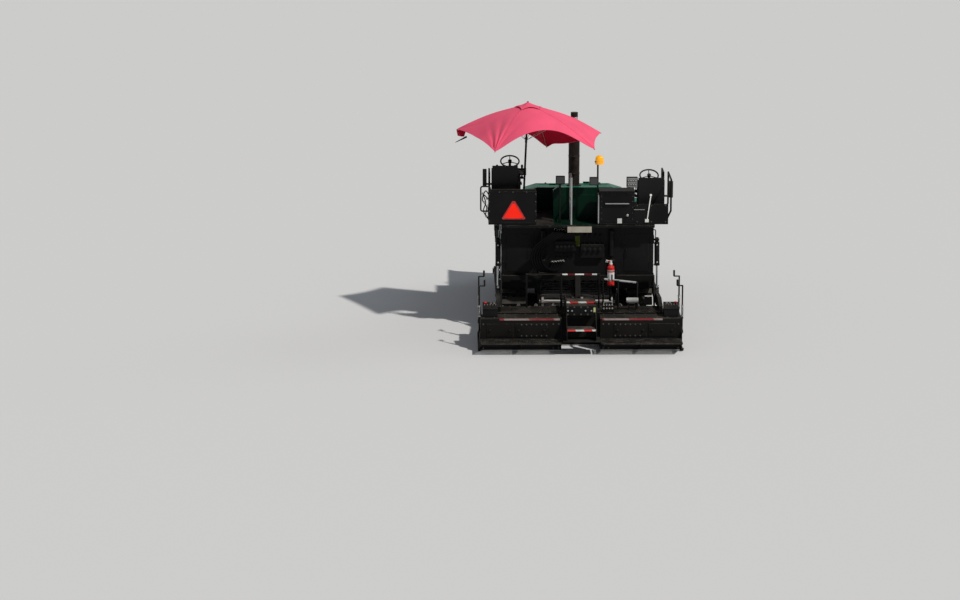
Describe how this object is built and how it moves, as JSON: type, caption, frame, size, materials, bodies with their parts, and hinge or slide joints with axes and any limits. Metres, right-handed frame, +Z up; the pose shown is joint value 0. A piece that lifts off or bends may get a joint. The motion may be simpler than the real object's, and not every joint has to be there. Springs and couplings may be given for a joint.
{
  "type": "tracked asphalt paver with extended screed",
  "caption": "Self-propelled asphalt paver on tracks: hopper and conveyors in front, twin operator stations with an umbrella, augers and an extending floating screed behind.",
  "frame": {"origin": "on the ground under the middle of the machine's outline", "axes": "+Y forward towards the hopper, +X to the right, +Z up"},
  "size_m": [4.0764, 6.9, 4.25],
  "materials": {
    "black_steel": "satin black paint, dusty with asphalt",
    "green_steel": "dark forest green paint",
    "track_rubber": "black rubber pads on steel shoes",
    "worn_steel": "steel worn bright by asphalt",
    "engine_grey": "grey casting",
    "stack_steel": "heat browned steel",
    "deck_steel": "dusty deck plate",
    "rail_grey": "light grey paint",
    "hose_rubber": "black hose",
    "seat_vinyl": "black vinyl",
    "warning_red": "fluorescent red film",
    "canopy_cloth": "pink red cloth",
    "wheel_plastic": "black moulding",
    "amber_lens": "amber lens",
    "hopper_steel": "worn black paint",
    "extinguisher_red": "gloss red paint",
    "rod_chrome": "polished rod"
  },
  "bodies": {
    "tractor": {"main_frame": "black_steel", "conveyor_floor": "worn_steel", "hopper_wall": "black_steel", "undercarriage_left": "black_steel", "undercarriage_right": "black_steel", "track_left": "track_rubber", "track_right": "track_rubber", "conveyors": "worn_steel", "engine_block": "engine_grey", "side_tank_left": "green_steel", "side_tank_right": "green_steel", "engine_hood": "green_steel", "exhaust_stack": "stack_steel", "operator_deck": "deck_steel", "deck_rails": "rail_grey", "work_light": "black_steel", "rear_bulkhead": "black_steel", "hydraulic_hoses": "hose_rubber", "tow_brackets": "black_steel"},
    "hood_door": {"hood_door": "green_steel"},
    "station_left": {"station_left": "black_steel", "seat_left": "seat_vinyl", "warning_triangle": "warning_red", "umbrella_pole": "black_steel", "umbrella_canopy": "canopy_cloth"},
    "station_right": {"station_right": "black_steel", "seat_right": "seat_vinyl", "tool_box": "black_steel", "mast": "black_steel", "beacon_lens": "amber_lens"},
    "wheel_left": {"steering_wheel_left": "wheel_plastic"},
    "wheel_right": {"steering_wheel_right": "wheel_plastic"},
    "tool_box_lid": {"tool_box_lid": "black_steel"},
    "wing_left": {"hopper_wing_left": "hopper_steel"},
    "wing_right": {"hopper_wing_right": "hopper_steel"},
    "push_bar": {"push_bar": "black_steel"},
    "push_roller_left": {"push_roller_left": "worn_steel"},
    "push_roller_right": {"push_roller_right": "worn_steel"},
    "auger_frame": {"auger_frame": "black_steel"},
    "auger_left": {"auger_left": "worn_steel"},
    "auger_right": {"auger_right": "worn_steel"},
    "screed": {"screed_main": "black_steel", "screed_steps": "black_steel", "screed_rails": "black_steel", "fire_extinguisher": "extinguisher_red", "tow_arms": "black_steel"},
    "extender_left": {"extender_left": "black_steel"},
    "extender_right": {"extender_right": "black_steel"},
    "gate_left": {"end_gate_left": "black_steel"},
    "gate_right": {"end_gate_right": "black_steel"},
    "lift_barrels": {"lift_barrels": "black_steel"},
    "lift_rods": {"lift_rods": "rod_chrome"}
  },
  "joints": [
    {"name": "screed_lift", "type": "hinge", "parent": "tractor", "child": "screed", "pos_m": [0.18185, 1.22, 0.56], "axis": [-1, 0, 0], "range_deg": [0, 6.5]},
    {"name": "lift_swing", "type": "hinge", "parent": "tractor", "child": "lift_barrels", "pos_m": [0.18185, -1.34, 1.7], "axis": [1, 0, 0], "range_deg": [-0.826, 0]},
    {"name": "lift_rods_slide", "type": "slide", "parent": "lift_barrels", "child": "lift_rods", "axis": [0, 0.1809, 0.9835], "range_m": [0, 0.3113]},
    {"name": "extender_left_slide", "type": "slide", "parent": "screed", "child": "extender_left", "axis": [-1, 0, 0], "range_m": [-0.261, 1.1]},
    {"name": "extender_right_slide", "type": "slide", "parent": "screed", "child": "extender_right", "axis": [1, 0, 0], "range_m": [-0.261, 1.1]},
    {"name": "end_gate_left_height", "type": "slide", "parent": "extender_left", "child": "gate_left", "axis": [0, 0, 1], "range_m": [0, 0.2]},
    {"name": "end_gate_right_height", "type": "slide", "parent": "extender_right", "child": "gate_right", "axis": [0, 0, 1], "range_m": [0, 0.2]},
    {"name": "auger_height", "type": "slide", "parent": "tractor", "child": "auger_frame", "axis": [0, 0, 1], "range_m": [0, 0.15]},
    {"name": "auger_left_spin", "type": "hinge", "parent": "auger_frame", "child": "auger_left", "pos_m": [-0.51815, -1.75, 0.38], "axis": [1, 0, 0], "continuous": true},
    {"name": "auger_right_spin", "type": "hinge", "parent": "auger_frame", "child": "auger_right", "pos_m": [0.88185, -1.75, 0.38], "axis": [1, 0, 0], "continuous": true},
    {"name": "wing_left_fold", "type": "hinge", "parent": "tractor", "child": "wing_left", "pos_m": [-0.58815, 2.15, 0.7], "axis": [0, 1, 0], "range_deg": [0, 55]},
    {"name": "wing_right_fold", "type": "hinge", "parent": "tractor", "child": "wing_right", "pos_m": [0.95185, 2.15, 0.7], "axis": [0, -1, 0], "range_deg": [0, 55]},
    {"name": "push_bar_pivot", "type": "hinge", "parent": "tractor", "child": "push_bar", "pos_m": [0.18185, 3.18, 0.52], "axis": [0, 0, 1], "range_deg": [-5, 5]},
    {"name": "push_roller_left_spin", "type": "hinge", "parent": "push_bar", "child": "push_roller_left", "pos_m": [-0.41815, 3.36, 0.52], "axis": [1, 0, 0], "continuous": true},
    {"name": "push_roller_right_spin", "type": "hinge", "parent": "push_bar", "child": "push_roller_right", "pos_m": [0.78185, 3.36, 0.52], "axis": [1, 0, 0], "continuous": true},
    {"name": "station_left_slide", "type": "slide", "parent": "tractor", "child": "station_left", "axis": [1, 0, 0], "range_m": [0, 0.3]},
    {"name": "station_right_slide", "type": "slide", "parent": "tractor", "child": "station_right", "axis": [-1, 0, 0], "range_m": [0, 0.3]},
    {"name": "hood_door_hinge", "type": "hinge", "parent": "tractor", "child": "hood_door", "pos_m": [0.18185, 0.65319, 2.37085], "axis": [1, 0, 0], "range_deg": [0, 80]},
    {"name": "tool_box_lid_hinge", "type": "hinge", "parent": "station_right", "child": "tool_box_lid", "pos_m": [0.89185, -1.29, 2.656], "axis": [-1, 0, 0], "range_deg": [0, 75]},
    {"name": "steering_left_turn", "type": "hinge", "parent": "station_left", "child": "wheel_left", "pos_m": [-1.05815, -0.75, 3.07], "axis": [0, -0.454, 0.891], "range_deg": [-120, 120]},
    {"name": "steering_right_turn", "type": "hinge", "parent": "station_right", "child": "wheel_right", "pos_m": [1.53185, -0.75, 2.8], "axis": [0, -0.454, 0.891], "range_deg": [-120, 120]}
  ],
  "couplings": [
    {"joint": "lift_swing", "follows": "screed_lift", "ratio": -0.12456},
    {"joint": "lift_rods_slide", "follows": "screed_lift", "m_per_rad": 2.7305}
  ]
}
